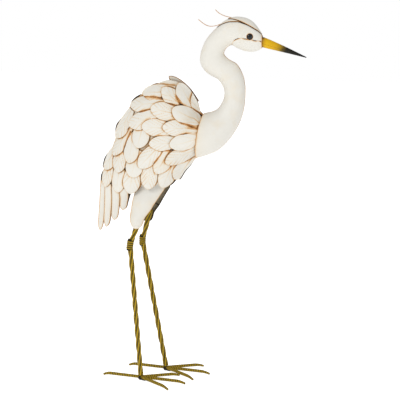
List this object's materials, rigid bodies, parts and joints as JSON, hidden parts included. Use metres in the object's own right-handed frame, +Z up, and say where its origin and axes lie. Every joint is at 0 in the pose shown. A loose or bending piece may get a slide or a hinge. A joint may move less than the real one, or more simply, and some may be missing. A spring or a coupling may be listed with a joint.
{
  "type": "metal bird garden statue",
  "caption": "Standing egret of painted sheet metal with layered leaf-shaped feathers, S-curved neck, yellow beak, twisted bar legs and wire toes that rest flat on the ground.",
  "frame": {"origin": "middle of the overall box, on the ground plane that the claws stand on", "axes": "+X the way the beak points, +Y the bird's left side, +Z up"},
  "size_m": [0.5564, 0.1906, 1.0154],
  "materials": {
    "off_white_steel": "satin off-white paint",
    "feather_steel": "satin off-white paint with a brown antiquing wash in the grooves",
    "yellow_beak": "satin yellow paint shaded to black at the tip",
    "black_eye": "gloss black",
    "olive_gold_steel": "olive-gold paint with dark antiquing",
    "dark_weld": "dark painted weld"
  },
  "bodies": {
    "root": {"beak": "yellow_beak", "body_shell": "off_white_steel", "crest_cap": "off_white_steel", "crest_plume": "off_white_steel", "eye_left": "black_eye", "eye_right": "black_eye", "feather_row_1_left": "feather_steel", "feather_row_1_right": "feather_steel", "feather_row_2_left": "feather_steel", "feather_row_2_right": "feather_steel", "feather_row_3_left": "feather_steel", "feather_row_3_right": "feather_steel", "feather_row_4_left": "feather_steel", "feather_row_4_right": "feather_steel", "feather_row_5_left": "feather_steel", "feather_row_5_right": "feather_steel", "feather_row_6_left": "feather_steel", "feather_row_6_right": "feather_steel", "feather_row_7_left": "feather_steel", "feather_row_7_right": "feather_steel", "foot_hub_left": "dark_weld", "foot_hub_right": "dark_weld", "knee_collar_left": "olive_gold_steel", "knee_collar_right": "olive_gold_steel", "lower_leg_left": "olive_gold_steel", "lower_leg_right": "olive_gold_steel", "neck_shell": "off_white_steel", "tail_strip_1_left": "feather_steel", "tail_strip_1_right": "feather_steel", "tail_strip_2_left": "feather_steel", "tail_strip_2_right": "feather_steel", "tail_strip_3_left": "feather_steel", "tail_strip_3_right": "feather_steel", "tail_strip_4_left": "feather_steel", "tail_strip_4_right": "feather_steel", "thigh_left": "off_white_steel", "thigh_right": "off_white_steel", "toe_back_left": "olive_gold_steel", "toe_back_right": "olive_gold_steel", "toe_inner_left": "olive_gold_steel", "toe_inner_right": "olive_gold_steel", "toe_middle_left": "olive_gold_steel", "toe_middle_right": "olive_gold_steel", "toe_outer_left": "olive_gold_steel", "toe_outer_right": "olive_gold_steel", "upper_leg_left": "olive_gold_steel", "upper_leg_right": "olive_gold_steel"}
  },
  "joints": []
}
